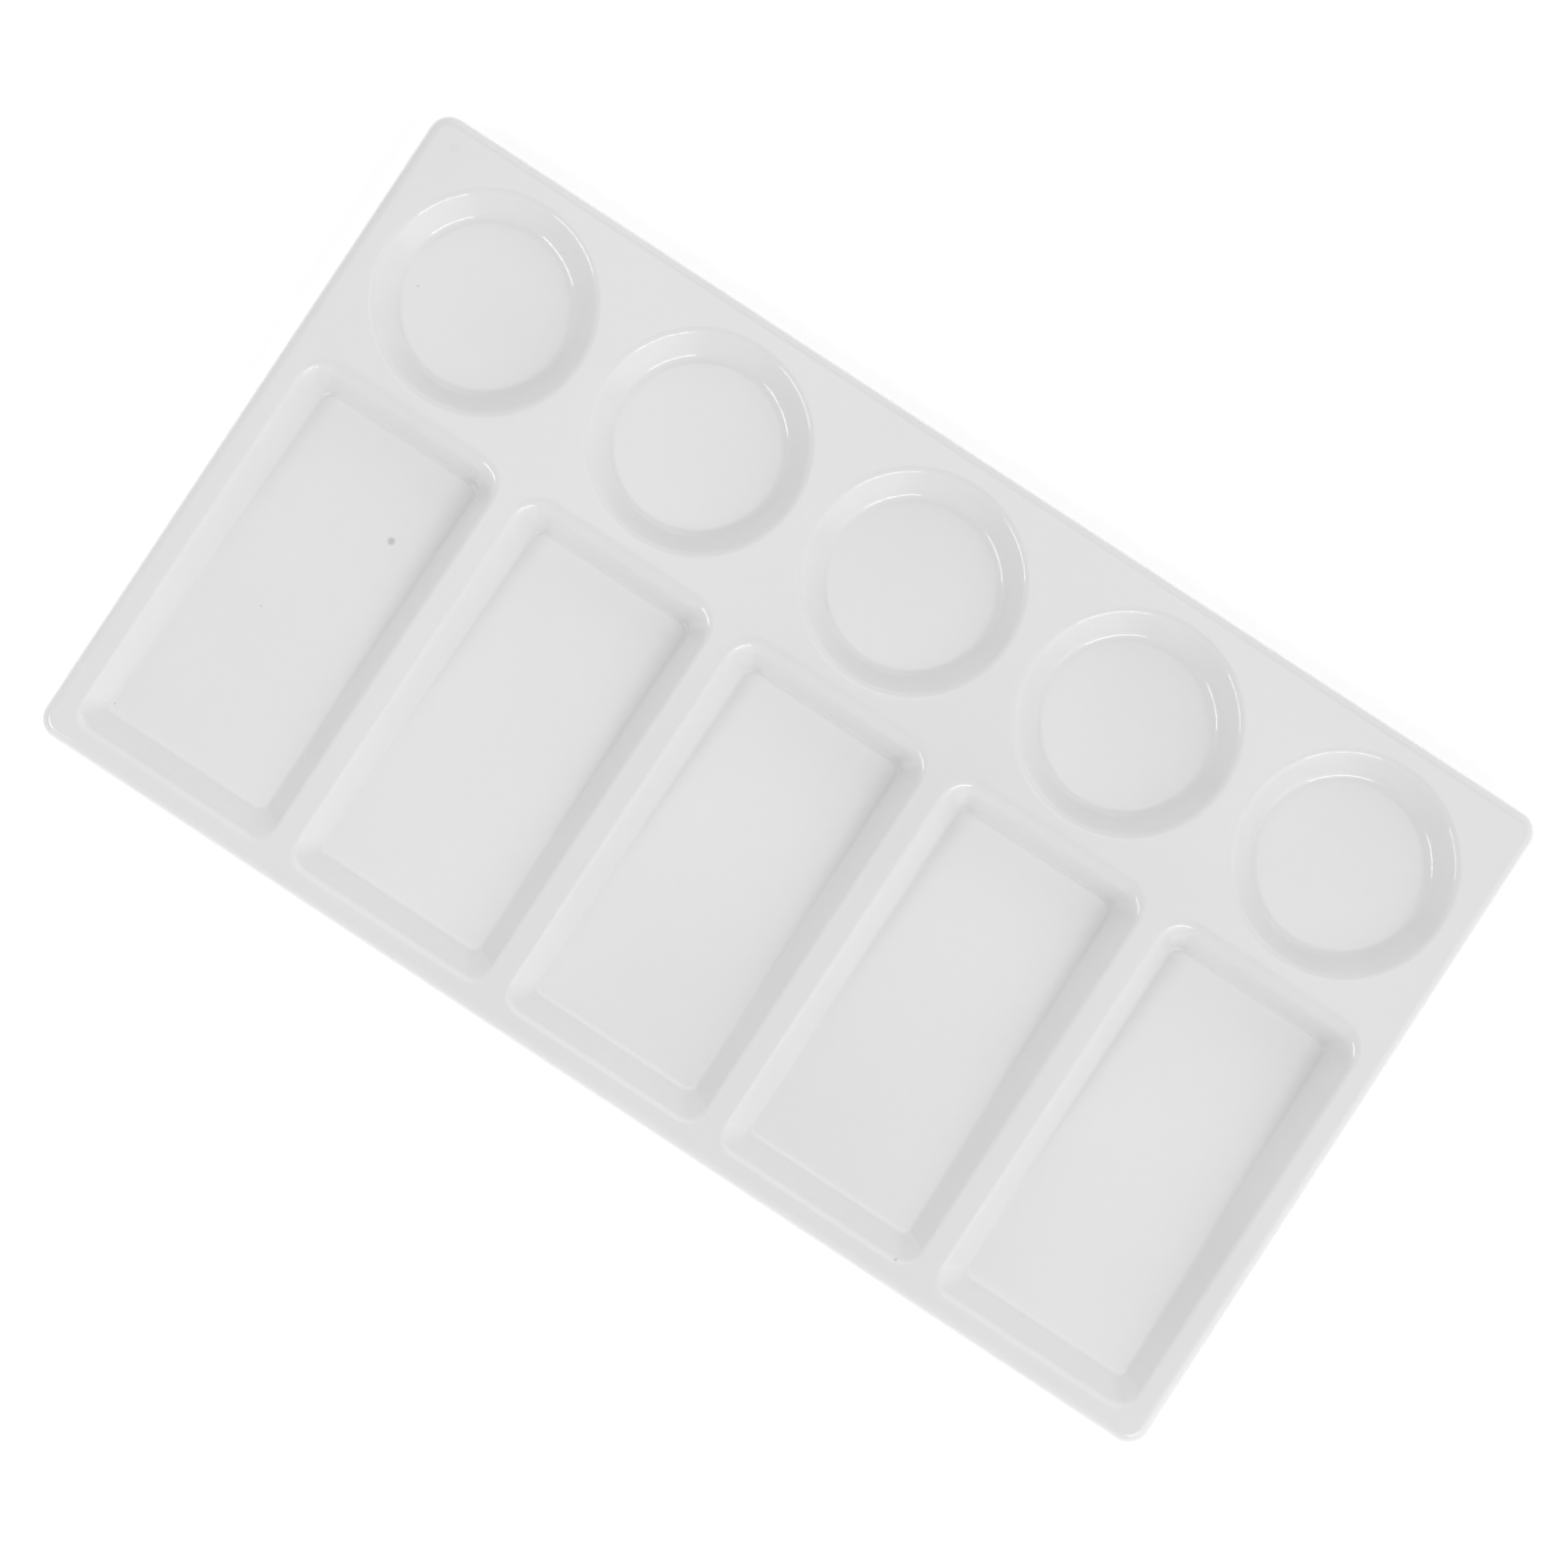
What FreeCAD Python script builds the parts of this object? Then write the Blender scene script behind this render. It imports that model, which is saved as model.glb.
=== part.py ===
"""Mixing palette: one moulding of white plastic sheet, ten wells and a turned-down skirt.

The tray lies on its skirt. X runs along its long side, Y points to the row of round
paint wells, Z is up. The origin is the middle of the outline, on the table.
All lengths are in millimetres and all angles in degrees.
"""
import FreeCAD, Part
import math
import os

from FreeCAD import Vector

# ---- driving dimensions ----
LENGTH = 320.0            # overall, at the lower edge of the skirt
WIDTH = 181.0             # overall, at the lower edge of the skirt
HEIGHT = 12.0             # from the table to the top face
SHEET = 1.5               # wall thickness everywhere

SKIRT_DRAFT = 2.0         # the skirt flares outwards by this much towards the table
SKIRT_CORNER_RADIUS = 5.7
SKIRT_EDGE_RADIUS = 3.0   # between the top face and the skirt

COLUMNS = 5               # one round well and one mixing well in each
PITCH = 62.2              # from one column to the next

ROUND_CENTRE_Y = 55.7
ROUND_RIM_RADIUS = 28.4   # where the top face starts to turn down
ROUND_DEPTH = 5.4
ROUND_WALL_LEAN = 48.0    # from the vertical
ROUND_RIM_FILLET = 2.8
ROUND_FLOOR_FILLET = 2.0

MIX_WIDTH = 57.3          # where the top face starts to turn down, as are the next two
MIX_BACK_Y = 23.6
MIX_FRONT_Y = -84.9
MIX_BACK_DEPTH = 9.8      # at the foot of the back wall
MIX_FRONT_DEPTH = 3.4     # at the foot of the front wall
MIX_SIDE_LEAN = 30.0      # from the vertical, as are the next two
MIX_BACK_LEAN = 24.0
MIX_FRONT_LEAN = 64.0
MIX_CORNER_RADIUS = 4.0
MIX_RIM_FILLET = 2.0
MIX_FLOOR_FILLET = 1.0

OVERSHOOT = 5.0           # how far a cutting shape stands out past what it cuts
STEEP = 0.3               # an edge that rises by more than this share of its length is a steep one
LEVEL_TOLERANCE = 1e-4    # how far an edge's two ends may differ in height if it is a level one


def column_positions():
    """The X of each column of wells, from left to right."""
    middle = (COLUMNS - 1) / 2
    return [PITCH * (column - middle) for column in range(COLUMNS)]


def turn_length(radius, lean):
    """The length that a fillet takes of each face, where a level face meets a leaning wall."""
    return radius * math.tan(math.radians(90 - lean) / 2)


# ---- solids with flat, leaning sides ----
class Plane:
    """A flat side of a solid: its outward normal, and its distance from the origin."""

    def __init__(self, point, normal):
        self.normal = Vector(normal).normalize()
        self.distance = self.normal.dot(Vector(point))

    def moved(self, step):
        """The same side, further out by step."""
        return Plane(self.normal * (self.distance + step), self.normal)


def meeting_point(first, second, third):
    """The corner where three sides meet."""
    a, b, c = first.normal, second.normal, third.normal
    corner = b.cross(c) * first.distance
    corner += c.cross(a) * second.distance
    corner += a.cross(b) * third.distance
    return corner / a.dot(b.cross(c))


def outward_face(corners, middle):
    """A flat face through the corners, facing away from the middle of its solid."""
    face = Part.Face(Part.makePolygon(corners + corners[:1]))
    if face.normalAt(0, 0).dot(face.CenterOfMass - middle) < 0:
        face.reverse()
    return face


def flat_sided_solid(sides, low, high):
    """The solid between a low and a high plane, with four sides given in order round it."""
    lower = []
    upper = []
    for index, side in enumerate(sides):
        following = sides[(index + 1) % 4]
        lower.append(meeting_point(side, following, low))
        upper.append(meeting_point(side, following, high))
    rings = [lower, upper]
    for index in range(4):
        rings.append([lower[index - 1], lower[index], upper[index], upper[index - 1]])
    middle = sum(lower + upper, Vector()) / 8
    return Part.makeSolid(Part.makeShell([outward_face(ring, middle) for ring in rings]))


def leaning_side(point, outward, lean):
    """A side through a point: outward is its level direction, lean tips it to face downwards."""
    angle = math.radians(lean)
    normal = Vector(outward) * math.cos(angle) + Vector(0, 0, -math.sin(angle))
    return Plane(point, normal)


# ---- edges to round ----
def steep_edges(solid):
    """The straight edges that run up the corners of a flat-sided solid."""
    found = []
    for edge in solid.Edges:
        run = edge.Vertexes[1].Point - edge.Vertexes[0].Point
        if abs(run.z) > STEEP * run.Length:
            found.append(edge)
    return found


def level_edges(solid, height):
    """The edges that lie wholly at one height."""
    found = []
    for edge in solid.Edges:
        box = edge.BoundBox
        if abs(box.ZMin - height) < LEVEL_TOLERANCE and abs(box.ZMax - height) < LEVEL_TOLERANCE:
            found.append(edge)
    return found


# ---- the skirt's block ----
def skirt_block(inset):
    """The tray's outer form as a full block, or the same form inset by the sheet's thickness."""
    half_length = LENGTH / 2
    half_width = WIDTH / 2
    directions = [Vector(-1, 0, 0), Vector(0, -1, 0), Vector(1, 0, 0), Vector(0, 1, 0)]
    reaches = [half_length, half_width, half_length, half_width]
    sides = []
    for outward, reach in zip(directions, reaches):
        sides.append(leaning_side(outward * reach, outward, -SKIRT_DRAFT).moved(-inset))
    bottom = -OVERSHOOT if inset else 0
    low = Plane(Vector(0, 0, bottom), Vector(0, 0, -1))
    high = Plane(Vector(0, 0, HEIGHT - inset), Vector(0, 0, 1))
    block = flat_sided_solid(sides, low, high)
    block = block.makeFillet(SKIRT_CORNER_RADIUS - inset, steep_edges(block))
    return block.makeFillet(SKIRT_EDGE_RADIUS - inset, level_edges(block, HEIGHT - inset))


# ---- the round paint wells ----
def round_well(centre_x, grow):
    """The hollow of a round well up to the top face, or grown by the sheet's thickness."""
    slope = math.tan(math.radians(ROUND_WALL_LEAN))
    floor_z = HEIGHT - ROUND_DEPTH - grow
    cap_z = HEIGHT + OVERSHOOT
    rim = ROUND_RIM_RADIUS - turn_length(ROUND_RIM_FILLET, ROUND_WALL_LEAN)
    rim += grow * math.hypot(1, slope)    # the wall moves out square to itself
    foot = rim - (HEIGHT - floor_z) * slope
    top = rim + (cap_z - HEIGHT) * slope
    points = [Vector(0, 0, floor_z), Vector(foot, 0, floor_z), Vector(top, 0, cap_z), Vector(0, 0, cap_z)]
    section = Part.Face(Part.makePolygon(points + points[:1]))
    well = section.revolve(Vector(0, 0, 0), Vector(0, 0, 1), 360)
    well = well.makeFillet(ROUND_FLOOR_FILLET + grow, level_edges(well, floor_z))
    well.translate(Vector(centre_x, ROUND_CENTRE_Y, 0))
    return well


# ---- the mixing wells, with floors that fall towards the round wells ----
def mixing_floor():
    """The slanting floor, through the feet of the front and the back wall."""
    back_run = turn_length(MIX_RIM_FILLET, MIX_BACK_LEAN)
    back_run += MIX_BACK_DEPTH * math.tan(math.radians(MIX_BACK_LEAN))
    front_run = turn_length(MIX_RIM_FILLET, MIX_FRONT_LEAN)
    front_run += MIX_FRONT_DEPTH * math.tan(math.radians(MIX_FRONT_LEAN))
    back_foot = Vector(0, MIX_BACK_Y - back_run, HEIGHT - MIX_BACK_DEPTH)
    front_foot = Vector(0, MIX_FRONT_Y + front_run, HEIGHT - MIX_FRONT_DEPTH)
    slope = back_foot - front_foot
    return Plane(back_foot, Vector(0, slope.z, -slope.y))


def mixing_well(centre_x, grow):
    """The hollow of a mixing well up to the top face, or grown by the sheet's thickness."""
    side_rim = MIX_WIDTH / 2 - turn_length(MIX_RIM_FILLET, MIX_SIDE_LEAN)
    back_rim = MIX_BACK_Y - turn_length(MIX_RIM_FILLET, MIX_BACK_LEAN)
    front_rim = MIX_FRONT_Y + turn_length(MIX_RIM_FILLET, MIX_FRONT_LEAN)
    sides = [
        leaning_side(Vector(-side_rim, 0, HEIGHT), Vector(-1, 0, 0), MIX_SIDE_LEAN),
        leaning_side(Vector(0, front_rim, HEIGHT), Vector(0, -1, 0), MIX_FRONT_LEAN),
        leaning_side(Vector(side_rim, 0, HEIGHT), Vector(1, 0, 0), MIX_SIDE_LEAN),
        leaning_side(Vector(0, back_rim, HEIGHT), Vector(0, 1, 0), MIX_BACK_LEAN),
    ]
    sides = [side.moved(grow) for side in sides]
    floor = mixing_floor().moved(grow)
    cap = Plane(Vector(0, 0, HEIGHT + OVERSHOOT), Vector(0, 0, 1))
    well = flat_sided_solid(sides, floor, cap)
    well = well.makeFillet(MIX_CORNER_RADIUS + grow, steep_edges(well))
    foot_edges = [edge for edge in well.Edges if edge.BoundBox.ZMax < HEIGHT]
    well = well.makeFillet(MIX_FLOOR_FILLET + grow, foot_edges)
    well.translate(Vector(centre_x, 0, 0))
    return well


# ---- the tray ----
def rim_edges(solid, height, centre_y, reach):
    """The edges round the mouths of one row of wells, in the level face at that height."""
    found = []
    for edge in level_edges(solid, height):
        box = edge.BoundBox
        inside_skirt = abs(box.Center.x) < LENGTH / 2 - SKIRT_EDGE_RADIUS - SHEET
        in_row = abs(box.YMin - centre_y) < reach and abs(box.YMax - centre_y) < reach
        if inside_skirt and in_row:
            found.append(edge)
    return found


def hollowed(block, grow):
    """The block with all ten wells sunk in it, and the rims of the wells rounded."""
    for centre_x in column_positions():
        block = block.cut(round_well(centre_x, grow))
        block = block.cut(mixing_well(centre_x, grow))
    height = HEIGHT - grow
    round_rims = rim_edges(block, height, ROUND_CENTRE_Y, ROUND_RIM_RADIUS)
    block = block.makeFillet(ROUND_RIM_FILLET - grow, round_rims)
    middle_y = (MIX_BACK_Y + MIX_FRONT_Y) / 2
    mixing_rims = rim_edges(block, height, middle_y, (MIX_BACK_Y - MIX_FRONT_Y) / 2)
    return block.makeFillet(MIX_RIM_FILLET - grow, mixing_rims)


def palette_tray():
    """The whole moulding: the hollowed block less the same form one sheet's thickness in."""
    outside = hollowed(skirt_block(0), 0)
    underside = hollowed(skirt_block(SHEET), SHEET)
    return outside.cut(underside)


def main():
    tray = palette_tray()
    print("solids", len(tray.Solids), "valid", tray.isValid(), "volume", round(tray.Volume))
    os.makedirs("parts", exist_ok=True)
    tray.Solids[0].exportStep("parts/palette_tray.step")


main()
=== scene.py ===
"""Looks of the mixing palette: the fine skin of the moulding, its plastic, the studio, the camera."""
import math

import bmesh
import bpy
from mathutils import Matrix, Vector


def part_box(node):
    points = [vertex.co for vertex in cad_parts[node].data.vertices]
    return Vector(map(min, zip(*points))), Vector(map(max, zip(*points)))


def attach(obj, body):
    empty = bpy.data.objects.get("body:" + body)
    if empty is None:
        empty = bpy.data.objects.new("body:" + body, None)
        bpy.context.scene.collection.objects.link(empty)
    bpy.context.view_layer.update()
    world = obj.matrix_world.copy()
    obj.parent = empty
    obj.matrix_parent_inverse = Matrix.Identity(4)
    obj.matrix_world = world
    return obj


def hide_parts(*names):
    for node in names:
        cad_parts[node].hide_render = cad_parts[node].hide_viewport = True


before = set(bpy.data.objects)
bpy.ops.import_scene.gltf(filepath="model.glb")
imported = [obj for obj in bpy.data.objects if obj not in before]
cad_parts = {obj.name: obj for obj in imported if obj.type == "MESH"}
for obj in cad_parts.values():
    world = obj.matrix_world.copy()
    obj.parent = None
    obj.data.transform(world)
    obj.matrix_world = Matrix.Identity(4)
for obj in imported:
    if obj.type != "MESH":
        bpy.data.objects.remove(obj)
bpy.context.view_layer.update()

LOW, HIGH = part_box("palette_tray")
MM = 0.001

# ---- the moulding, in millimetres ----
TOP = HIGH.z / MM                      # the top face, above the table
HALF_LENGTH = HIGH.x / MM              # at the lower edge of the skirt
HALF_WIDTH = HIGH.y / MM
SHEET = 1.5

SKIRT_DRAFT = math.radians(2.0)
SKIRT_CORNER = 5.7
SKIRT_EDGE = 3.0

PITCH = 62.2
COLUMNS = [PITCH * step for step in (-2, -1, 0, 1, 2)]

ROUND_Y = 55.7
ROUND_RADIUS = 28.4                    # where the top face starts to turn down
ROUND_RUN = 8.2                        # from there to the flat floor
ROUND_DEPTH = 5.4
ROUND_RADII = (2.8, 4.0)               # of the rim and of the floor's edge
ROUND_DISH = math.radians(1.75)        # how steeply the shallow dish of the floor starts at its edge

MIX_HALF_WIDTH = 28.7
MIX_BACK = 24.9
MIX_FRONT = -84.9
MIX_BACK_CORNER = 8.2
MIX_FRONT_CORNER = 5.6
MIX_SIDE_RADII = (1.9, 1.7)            # of the rim and of the floor's edge
MIX_BACK_RADII = (4.4, 1.4)
MIX_FRONT_RADII = (6.0, 4.5)
FOOT_BACK = 17.0                       # the edges of the mixing well's flat floor
FOOT_FRONT = -76.4
FOOT_HALF_BACK = 21.5
FOOT_HALF_FRONT = 22.4
FOOT_CORNER = 2.0
BACK_DEPTH = 9.8
FRONT_DEPTH = 3.4

# specks in the plastic: X, Y, depth below the top face, radius, and the share of light they keep
SPECKS = [
    (-112.9, -5.1, 8.2, 1.10, 0.72),
    (-130.4, -35.8, 6.2, 0.25, 0.70),
    (-146.4, -75.1, 3.5, 0.30, 0.75),
    (-141.4, 50.7, 5.4, 0.30, 0.75),
    (85.9, -83.2, 0.3, 0.45, 0.70),
    (-151.3, 83.2, 0.0, 1.60, 0.97),
]

RIDGE = 0.020                          # height of the fine tool lines on the walls
RIDGE_EVERY = 4                        # rings from one tool line to the next
HOLD = 0.3                             # a narrow level band that keeps the flats flat
FINE = (10, 20, 8)                     # rings over a rim, down its wall and over the floor's edge
COARSE = (6, 3, 5)                     # the same on the underside
SAME_PLACE = 0.001                     # points of a ring that are closer than this are one
SPECK_FADE = (0.4, 1.2)                # a speck fades out between these shares of its radius


# ---- outlines: rings of points with the way the surface faces there ----
# A drop is the depth below the top face. A turn is how far the surface leans from level, in radians.
class Corner:
    """One rounded corner of a ring; side and end are the (drop, turn) where it meets each wall."""

    def __init__(self, x, y, radius, side, end):
        self.x = x
        self.y = y
        self.radius = radius
        self.side = side
        self.end = end


def ring(corners, arc_steps):
    """Points round four corners, back right first, each with the normal of the surface there."""
    points = []
    for quarter, corner in enumerate(corners):
        reach_x = math.copysign(corner.radius, math.cos(math.radians(90 * quarter + 45)))
        reach_y = math.copysign(corner.radius, math.sin(math.radians(90 * quarter + 45)))
        for step in range(arc_steps + 1):
            angle = math.radians(90 * (quarter + step / arc_steps))
            outward = Vector((math.cos(angle), math.sin(angle), 0))
            share = abs(outward.y)
            drop = corner.side[0] + (corner.end[0] - corner.side[0]) * share
            turn = corner.side[1] + (corner.end[1] - corner.side[1]) * share
            place = Vector((corner.x - reach_x, corner.y - reach_y, TOP - drop))
            place += outward * corner.radius
            normal = outward * math.sin(turn)
            normal.z = math.cos(turn)
            points.append((place, normal))
    # the corners of a circle share their end points, which count once
    kept = []
    for index, point in enumerate(points):
        gap = point[0] - points[index - 1][0]
        if gap.length > SAME_PLACE:
            kept.append(point)
    return kept


def wall_profile(run, depth, radii, slope, steps):
    """(along, drop, turn) down a wall: an arc off the top face, a straight stretch, a second arc.

    slope is the angle at which the floor falls away from the wall's foot.
    """
    rim, floor = radii
    across = run + floor * math.sin(slope)
    fall = depth - rim - floor * math.cos(slope)
    straight = math.sqrt(across ** 2 + fall ** 2 - (rim + floor) ** 2)
    steepest = math.atan2(fall, across) + math.atan2(rim + floor, straight)
    profile = [(-HOLD, 0.0, 0.0)]
    for step in range(steps[0] + 1):
        turn = steepest * step / steps[0]
        profile.append((rim * math.sin(turn), rim * (1 - math.cos(turn)), turn))
    along, drop, _ = profile[-1]
    for step in range(1, steps[1] + 1):
        way = straight * step / steps[1]
        profile.append((along + way * math.cos(steepest), drop + way * math.sin(steepest), steepest))
    along, drop, _ = profile[-1]
    for step in range(1, steps[2] + 1):
        turn = steepest + (slope - steepest) * step / steps[2]
        ahead = floor * (math.sin(steepest) - math.sin(turn))
        down = floor * (math.cos(turn) - math.cos(steepest))
        profile.append((along + ahead, drop + down, turn))
    profile.append((run + HOLD * math.cos(slope), depth + HOLD * math.sin(slope), slope))
    return profile


def floor_depth(y):
    """Depth of a mixing well's slanting floor below the top face."""
    share = (y - FOOT_FRONT) / (FOOT_BACK - FOOT_FRONT)
    return FRONT_DEPTH + (BACK_DEPTH - FRONT_DEPTH) * share


def mixing_rings(centre_x, steps, arc_steps):
    """Rings down the walls of a mixing well, from the top face to its slanting floor."""
    slope = math.atan((BACK_DEPTH - FRONT_DEPTH) / (FOOT_BACK - FOOT_FRONT))
    side_runs = (MIX_HALF_WIDTH - FOOT_HALF_BACK, MIX_HALF_WIDTH - FOOT_HALF_FRONT)
    side_depths = (floor_depth(FOOT_BACK - FOOT_CORNER), floor_depth(FOOT_FRONT + FOOT_CORNER))
    back_end = wall_profile(MIX_BACK - FOOT_BACK, BACK_DEPTH, MIX_BACK_RADII, -slope, steps)
    front_end = wall_profile(FOOT_FRONT - MIX_FRONT, FRONT_DEPTH, MIX_FRONT_RADII, slope, steps)
    back_side = wall_profile(side_runs[0], side_depths[0], MIX_SIDE_RADII, 0.0, steps)
    front_side = wall_profile(side_runs[1], side_depths[1], MIX_SIDE_RADII, 0.0, steps)
    rings = []
    for levels in zip(back_side, back_end, front_side, front_end):
        back_x, back_y, front_x, front_y = [level[0] for level in levels]
        side_back, end_back, side_front, end_front = [(level[1], -level[2]) for level in levels]
        share = min(1.0, max(0.0, back_x / side_runs[0]))
        back_corner = MIX_BACK_CORNER + (FOOT_CORNER - MIX_BACK_CORNER) * share
        front_corner = MIX_FRONT_CORNER + (FOOT_CORNER - MIX_FRONT_CORNER) * share
        back_half = MIX_HALF_WIDTH - back_x
        front_half = MIX_HALF_WIDTH - front_x
        corners = [
            Corner(centre_x + back_half, MIX_BACK - back_y, back_corner, side_back, end_back),
            Corner(centre_x - back_half, MIX_BACK - back_y, back_corner, side_back, end_back),
            Corner(centre_x - front_half, MIX_FRONT + front_y, front_corner, side_front, end_front),
            Corner(centre_x + front_half, MIX_FRONT + front_y, front_corner, side_front, end_front),
        ]
        rings.append(ring(corners, arc_steps))
    return rings


def circle(centre_x, radius, drop, turn, arc_steps):
    """One ring of a round well."""
    corners = []
    for right, back in ((1, 1), (-1, 1), (-1, -1), (1, -1)):
        place = (centre_x + right * radius, ROUND_Y + back * radius)
        corners.append(Corner(*place, radius, (drop, -turn), (drop, -turn)))
    return ring(corners, arc_steps)


def round_rings(centre_x, steps, arc_steps):
    """Rings down the wall of a round well."""
    profile = wall_profile(ROUND_RUN, ROUND_DEPTH, ROUND_RADII, ROUND_DISH, steps)
    rings = []
    for along, drop, turn in profile:
        rings.append(circle(centre_x, ROUND_RADIUS - along, drop, turn, arc_steps))
    return rings


def dish_rings(centre_x, count, arc_steps):
    """Rings over the shallow dish of a round well's floor, from the wall's foot inwards."""
    edge = ROUND_RADIUS - ROUND_RUN
    sag = edge * math.tan(ROUND_DISH) / 2
    rings = []
    for step in range(1, count + 1):
        share = 1 - step / (count + 1)
        drop = ROUND_DEPTH + sag * (1 - share ** 2)
        rings.append(circle(centre_x, edge * share, drop, ROUND_DISH * share, arc_steps))
    return rings


def skirt_rings(steps, arc_steps):
    """Rings over the outer edge and down the skirt to the table."""
    steepest = math.pi / 2 - SKIRT_DRAFT
    flare = TOP * math.tan(SKIRT_DRAFT)
    turn_length = SKIRT_EDGE * math.tan(steepest / 2)
    levels = [(-turn_length - HOLD, 0.0, 0.0)]
    for step in range(steps + 1):
        turn = steepest * step / steps
        out = SKIRT_EDGE * math.sin(turn) - turn_length
        levels.append((out, SKIRT_EDGE * (1 - math.cos(turn)), turn))
    levels.append((flare - HOLD * math.tan(SKIRT_DRAFT), TOP - HOLD, steepest))
    levels.append((flare, TOP, steepest))
    rings = []
    for out, drop, turn in levels:
        half_x = HALF_LENGTH - flare + out
        half_y = HALF_WIDTH - flare + out
        radius = SKIRT_CORNER - flare + out
        level = (drop, turn)
        signs = [(1, 1), (-1, 1), (-1, -1), (1, -1)]
        corners = [Corner(right * half_x, back * half_y, radius, level, level) for right, back in signs]
        rings.append(ring(corners, arc_steps))
    return rings


# ---- skins ----
def ridged(rings, steps):
    """The rings with every few on the straight wall raised a little, like the mould's tool lines."""
    first = steps[0] + RIDGE_EVERY
    last = steps[0] + steps[1]
    raised = []
    for index, points in enumerate(rings):
        lift = RIDGE if first <= index <= last and (index - first) % RIDGE_EVERY == 0 else 0.0
        raised.append([(place + normal * lift, normal) for place, normal in points])
    return raised


def under(rings):
    """The same rings one sheet's thickness inside the surface, and no lower than the table."""
    sunk = []
    for points in rings:
        moved = []
        for place, normal in points:
            inner = place - normal * SHEET
            inner.z = max(inner.z, 0.0)
            moved.append((inner, normal))
        sunk.append(moved)
    return sunk


def add_strip(mesh, rings):
    """Skins neighbouring rings with quads and returns the first and the last ring's vertices."""
    rows = [[mesh.verts.new(place * MM) for place, _ in points] for points in rings]
    for upper, lower in zip(rows, rows[1:]):
        for index in range(len(upper)):
            mesh.faces.new((upper[index - 1], upper[index], lower[index], lower[index - 1]))
    return rows[0], rows[-1]


def close_land(mesh, loops):
    """Fills the level face between the skirt's loop and the wells' loops."""
    edges = []
    for loop in loops:
        edges += [mesh.edges.get((loop[index - 1], loop[index])) for index in range(len(loop))]
    bmesh.ops.triangle_fill(mesh, use_beauty=True, edges=edges)


def add_side(mesh, skirt, wells):
    """One side of the sheet: the skirt, the wells with their floors, and the land between them."""
    land_loop, hem = add_strip(mesh, skirt)
    loops = [land_loop]
    for rings in wells:
        rim, floor = add_strip(mesh, rings)
        mesh.faces.new(floor)
        loops.append(rim)
    close_land(mesh, loops)
    return hem


def palette_mesh():
    """The closed skin of the whole moulding."""
    mesh = bmesh.new()
    top_wells = []
    lower_wells = []
    for x in COLUMNS:
        round_wall = ridged(round_rings(x, FINE, arc_steps=36), FINE)
        top_wells.append(round_wall + dish_rings(x, count=7, arc_steps=36))
        top_wells.append(ridged(mixing_rings(x, FINE, arc_steps=10), FINE))
        round_wall = round_rings(x, COARSE, arc_steps=18)
        lower_wells.append(under(round_wall + dish_rings(x, count=3, arc_steps=18)))
        lower_wells.append(under(mixing_rings(x, COARSE, arc_steps=6)))
    outer_hem = add_side(mesh, skirt_rings(steps=12, arc_steps=12), top_wells)
    inner_hem = add_side(mesh, under(skirt_rings(steps=6, arc_steps=12)), lower_wells)
    for index in range(len(outer_hem)):
        mesh.faces.new((outer_hem[index - 1], outer_hem[index], inner_hem[index], inner_hem[index - 1]))
    bmesh.ops.recalc_face_normals(mesh, faces=mesh.faces)
    for face in mesh.faces:
        face.smooth = True
    data = bpy.data.meshes.new("palette_skin")
    mesh.to_mesh(data)
    mesh.free()
    return data


def add_palette():
    """The piece that is seen in place of the plain solid."""
    piece = bpy.data.objects.new("palette_skin", palette_mesh())
    bpy.context.scene.collection.objects.link(piece)
    piece.data.materials.append(white_plastic())
    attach(piece, "root")
    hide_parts("palette_tray")


# ---- materials ----
def new_material(name):
    """A new material with its node tree and its shader."""
    material = bpy.data.materials.new(name)
    material.use_nodes = True
    tree = material.node_tree
    return material, tree, tree.nodes["Principled BSDF"]


def noise(tree, size, detail):
    """Noise between 0 and 1 whose patches are about size millimetres across."""
    place = tree.nodes.new("ShaderNodeTexCoord")
    node = tree.nodes.new("ShaderNodeTexNoise")
    node.inputs["Scale"].default_value = 1 / (size * MM)
    node.inputs["Detail"].default_value = detail
    tree.links.new(place.outputs["Object"], node.inputs["Vector"])
    return node.outputs["Fac"]


def ranged(tree, value, source, target):
    """The value carried from one range to another, with soft ends and nothing beyond them."""
    node = tree.nodes.new("ShaderNodeMapRange")
    node.interpolation_type = "SMOOTHSTEP"
    node.inputs["From Min"].default_value, node.inputs["From Max"].default_value = source
    node.inputs["To Min"].default_value, node.inputs["To Max"].default_value = target
    tree.links.new(value, node.inputs["Value"])
    return node.outputs["Result"]


def combined(tree, operation, first, second):
    """Two values added or multiplied."""
    node = tree.nodes.new("ShaderNodeMath")
    node.operation = operation
    tree.links.new(first, node.inputs[0])
    tree.links.new(second, node.inputs[1])
    return node.outputs["Value"]


def grey(tree, value):
    """A value as a grey colour."""
    node = tree.nodes.new("ShaderNodeCombineColor")
    for channel in node.inputs:
        tree.links.new(value, channel)
    return node.outputs["Color"]


def bumped(tree, height, distance, below=None):
    """A normal raised by the height, up to so many millimetres, over another bump."""
    node = tree.nodes.new("ShaderNodeBump")
    node.inputs["Distance"].default_value = distance * MM
    tree.links.new(height, node.inputs["Height"])
    if below is not None:
        tree.links.new(below, node.inputs["Normal"])
    return node.outputs["Normal"]


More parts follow.
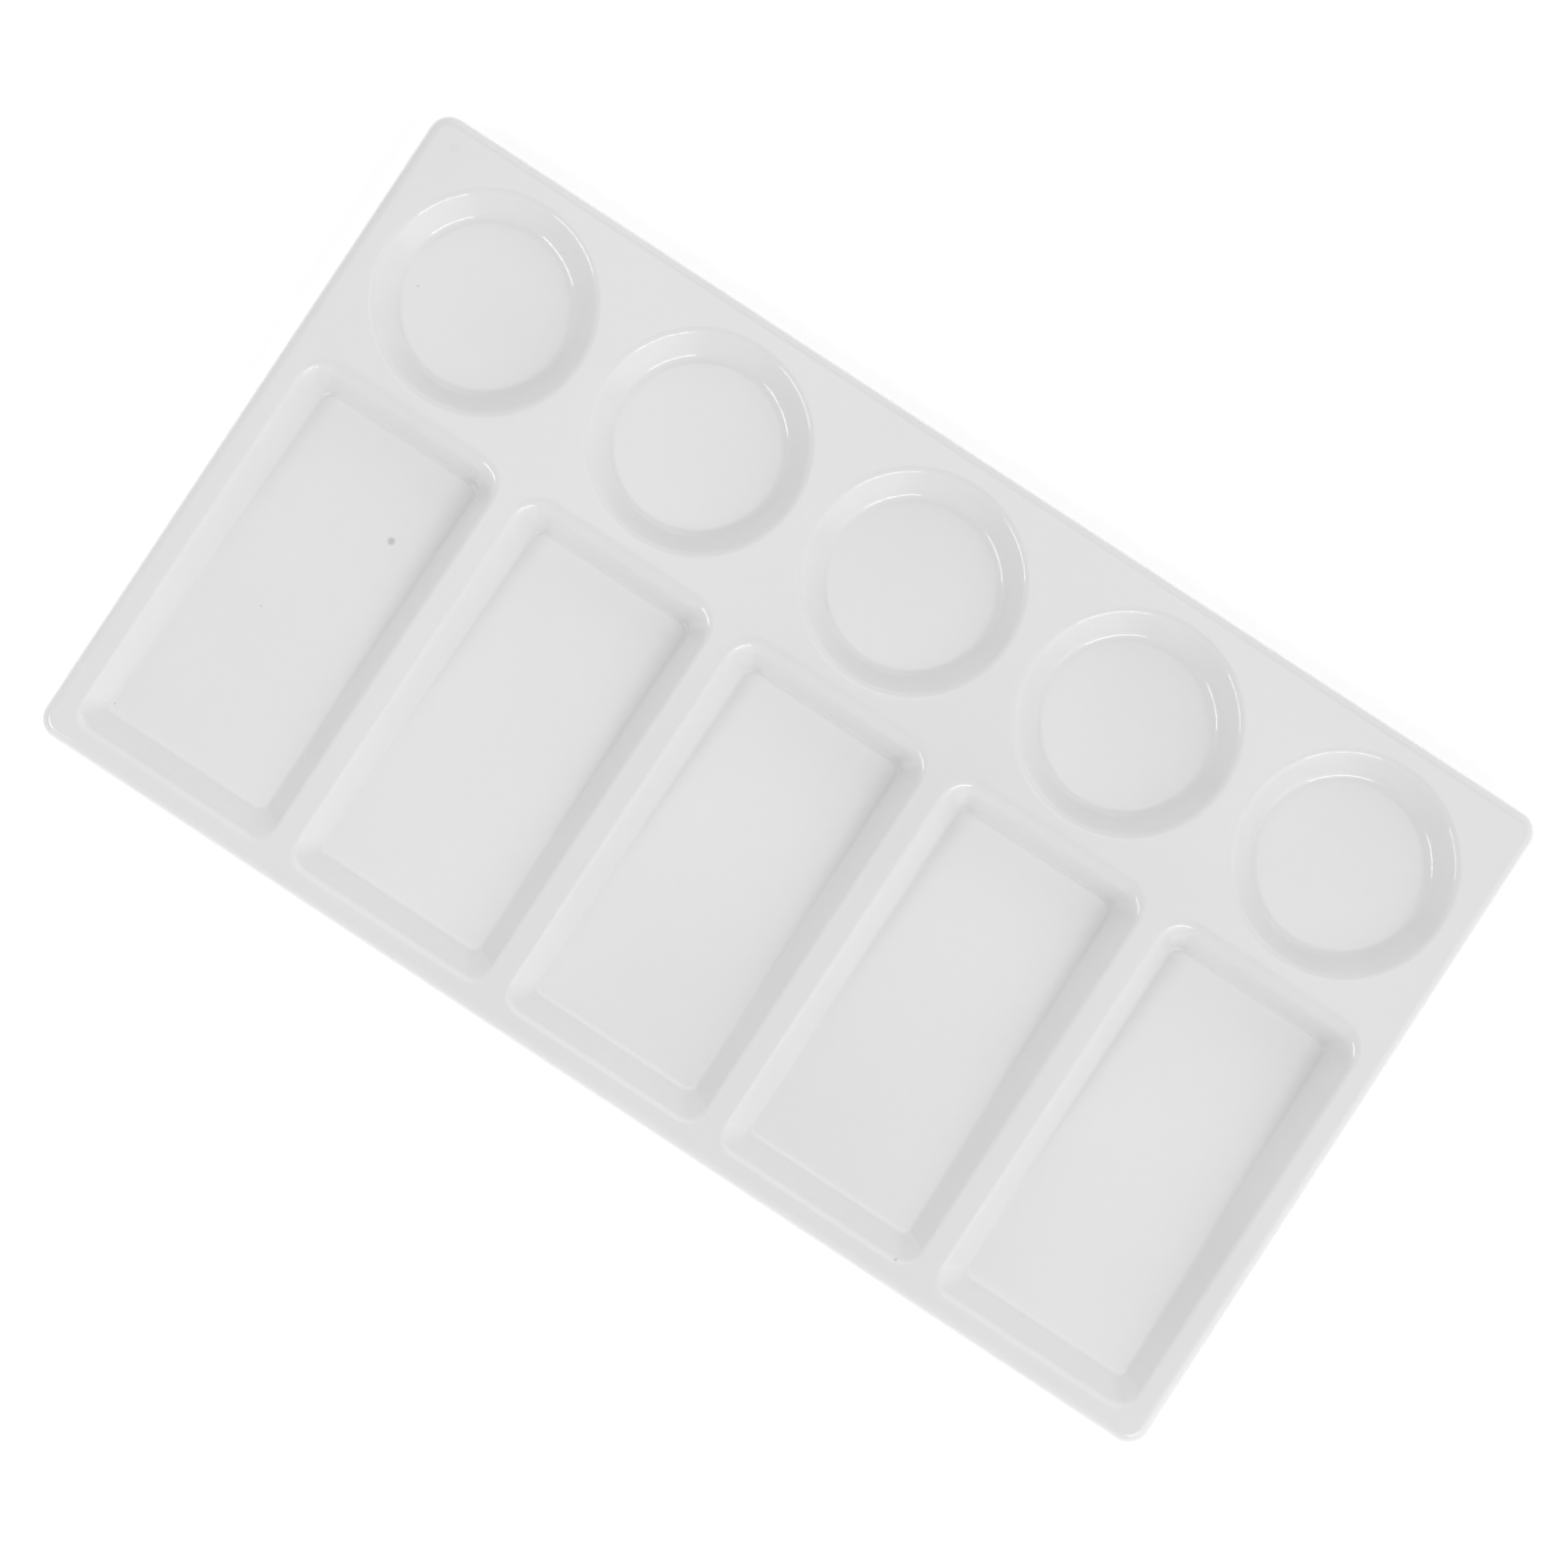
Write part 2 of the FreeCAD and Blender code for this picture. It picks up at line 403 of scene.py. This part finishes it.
def speck(tree, x, y, depth, radius, shade):
    """How much of its light the plastic keeps round one speck, 1 away from it."""
    fade = (SPECK_FADE[0] * radius * MM, SPECK_FADE[1] * radius * MM)
    place = tree.nodes.new("ShaderNodeTexCoord")
    gap = tree.nodes.new("ShaderNodeVectorMath")
    gap.operation = "DISTANCE"
    gap.inputs[1].default_value = Vector((x, y, TOP - depth)) * MM
    tree.links.new(place.outputs["Object"], gap.inputs[0])
    return ranged(tree, gap.outputs["Value"], fade, (shade, 1.0))


def plastic_colour(tree):
    """White with faint cloudiness and a few specks that came with the granulate."""
    shade = ranged(tree, noise(tree, size=45, detail=3), (0.3, 0.7), (0.865, 0.88))
    fine = ranged(tree, noise(tree, size=3, detail=2), (0.3, 0.7), (0.994, 1.0))
    shade = combined(tree, "MULTIPLY", shade, fine)
    for mark in SPECKS:
        shade = combined(tree, "MULTIPLY", shade, speck(tree, *mark))
    return grey(tree, shade)


def plastic_gloss(tree):
    """Roughness: a clean gloss, dulled in patches where the tray is handled and wiped."""
    patches = ranged(tree, noise(tree, size=28, detail=4), (0.35, 0.75), (0.05, 0.10))
    grain = ranged(tree, noise(tree, size=0.9, detail=2), (0.3, 0.7), (0.0, 0.02))
    return combined(tree, "ADD", patches, grain)


def white_plastic():
    """Glossy white moulded sheet, a little wavy from cooling, with a fine grain from the mould."""
    material, tree, shader = new_material("white_plastic")
    tree.links.new(plastic_colour(tree), shader.inputs["Base Color"])
    tree.links.new(plastic_gloss(tree), shader.inputs["Roughness"])
    waves = bumped(tree, noise(tree, size=14, detail=1), distance=0.012)
    grain = bumped(tree, noise(tree, size=0.8, detail=2), distance=0.0006, below=waves)
    tree.links.new(grain, shader.inputs["Normal"])
    return material


def pale_floor():
    """Even, matt studio floor, lit through from below so that it comes out nearly white."""
    material, _, shader = new_material("studio_floor")
    shader.inputs["Base Color"].default_value = (0.9, 0.9, 0.9, 1)
    shader.inputs["Roughness"].default_value = 0.9
    shader.inputs["Emission Color"].default_value = (1, 1, 1, 1)
    shader.inputs["Emission Strength"].default_value = 0.34
    return material


# ---- studio ----
FLOOR_SIZE = 12.0                      # metres

# how strong the light is: from all round, and from each soft bright stretch of wall or ceiling
SURROUND = 0.165
# azimuth, elevation and spread in degrees, and strength
CEILING = (90, 76, 24, 1.25)
GLOWS = {
    "right_wall": (0, 41, 40, 0.56),
    "left_wall": (190, 48, 40, 0.34),
    "low_back": (90, 16, 40, 0.80),
    "low_right_back": (45, 14, 40, 0.75),
    "low_right_front": (-25, 14, 40, 1.10),
    "low_left_back": (135, 14, 40, 0.65),
    "low_left_front": (205, 14, 40, 0.50),
    "low_front": (-90, 22, 40, 0.28),
}
# azimuth and elevation in degrees, distance, (width, height) in metres, and watts
SOFT_BOXES = {
    "right_soft_box": (-37, 42, 1.7, (0.95, 0.26), 5.0),
    "left_soft_box": (-137, 42, 1.7, (0.85, 0.26), 5.0),
}
# the dark patch overhead: the sky's direction is squeezed, then shifted, and the light comes
# back between these two distances from the middle
OVERHEAD_SQUEEZE = (7.0, 4.2, 0.0)
OVERHEAD_SHIFT = (-0.2, 0.5, 0.0)
OVERHEAD_FADE = (0.5, 1.3)


def add_floor():
    """The pale surface the tray lies on."""
    mesh = bmesh.new()
    bmesh.ops.create_grid(mesh, x_segments=1, y_segments=1, size=FLOOR_SIZE / 2)
    data = bpy.data.meshes.new("studio_floor")
    mesh.to_mesh(data)
    mesh.free()
    floor = bpy.data.objects.new("studio_floor", data)
    bpy.context.scene.collection.objects.link(floor)
    floor.data.materials.append(pale_floor())


def direction(azimuth, elevation):
    """The way to a point of the sky: azimuth counted from +X towards +Y, both in degrees."""
    turn = math.radians(azimuth)
    rise = math.radians(elevation)
    return Vector((math.cos(turn) * math.cos(rise), math.sin(turn) * math.cos(rise), math.sin(rise)))


def glow(tree, azimuth, elevation, spread, strength):
    """A soft bright stretch of the studio's walls, fading out at so many degrees from its middle."""
    place = tree.nodes.new("ShaderNodeTexCoord")
    nearness = tree.nodes.new("ShaderNodeVectorMath")
    nearness.operation = "DOT_PRODUCT"
    nearness.inputs[1].default_value = direction(azimuth, elevation)
    tree.links.new(place.outputs["Generated"], nearness.inputs[0])
    edge = math.cos(math.radians(spread))
    return ranged(tree, nearness.outputs["Value"], (edge, 1.0), (0.0, strength))


def from_above(tree, strength):
    """Even light, but for a soft dark patch overhead where the camera and its arm hang."""
    place = tree.nodes.new("ShaderNodeTexCoord")
    patch = tree.nodes.new("ShaderNodeMapping")
    patch.vector_type = "POINT"
    patch.inputs["Location"].default_value = OVERHEAD_SHIFT
    patch.inputs["Scale"].default_value = OVERHEAD_SQUEEZE
    reach = tree.nodes.new("ShaderNodeVectorMath")
    reach.operation = "LENGTH"
    tree.links.new(place.outputs["Generated"], patch.inputs["Vector"])
    tree.links.new(patch.outputs["Vector"], reach.inputs[0])
    return ranged(tree, reach.outputs["Value"], OVERHEAD_FADE, (0.0, strength))


def add_world():
    """The light that comes from the studio's walls and ceiling."""
    world = bpy.data.worlds.new("studio")
    world.use_nodes = True
    tree = world.node_tree
    ceiling = combined(tree, "MULTIPLY", from_above(tree, 1.0), glow(tree, *CEILING))
    light = combined(tree, "ADD", from_above(tree, SURROUND), ceiling)
    for values in GLOWS.values():
        light = combined(tree, "ADD", light, glow(tree, *values))
    background = tree.nodes["Background"]
    background.inputs["Color"].default_value = (1, 1, 1, 1)
    tree.links.new(light, background.inputs["Strength"])
    bpy.context.scene.world = world


def add_soft_box(name, azimuth, elevation, distance, size, watts):
    """A soft box that faces the tray from so far away, with its wide side level."""
    away = direction(azimuth, elevation)
    data = bpy.data.lights.new(name, "AREA")
    data.shape = "RECTANGLE"
    data.size, data.size_y = size
    data.energy = watts
    light = bpy.data.objects.new(name, data)
    light.location = away * distance
    light.rotation_euler = away.to_track_quat("Z", "Y").to_euler()
    bpy.context.scene.collection.objects.link(light)


def add_lights():
    """The studio's walls and the two soft boxes."""
    add_world()
    for name, values in SOFT_BOXES.items():
        add_soft_box(name, *values)


# ---- camera ----
CAMERA_AIM = Vector((0.0006, -0.0022, HIGH.z))
CAMERA_PLACE = CAMERA_AIM + Vector((0.0097, -0.0101, 0.6156))
CAMERA_ROLL = 33.27                    # degrees from the long side to the picture's lower edge
CAMERA_LENS = 58.5


def add_camera():
    """Straight down on the tray, turned so that its long side runs down to the right."""
    data = bpy.data.cameras.new("camera")
    data.lens = CAMERA_LENS
    camera = bpy.data.objects.new("camera", data)
    back = (CAMERA_PLACE - CAMERA_AIM).normalized()
    roll = math.radians(CAMERA_ROLL)
    right = Vector((math.cos(roll), math.sin(roll), 0))
    right = (right - back * right.dot(back)).normalized()
    up = back.cross(right)
    turn = Matrix((right, up, back)).transposed()
    camera.matrix_world = Matrix.Translation(CAMERA_PLACE) @ turn.to_4x4()
    bpy.context.scene.collection.objects.link(camera)
    bpy.context.scene.camera = camera


add_camera()
add_palette()
add_floor()
add_lights()
bpy.context.scene.view_settings.view_transform = "Standard"
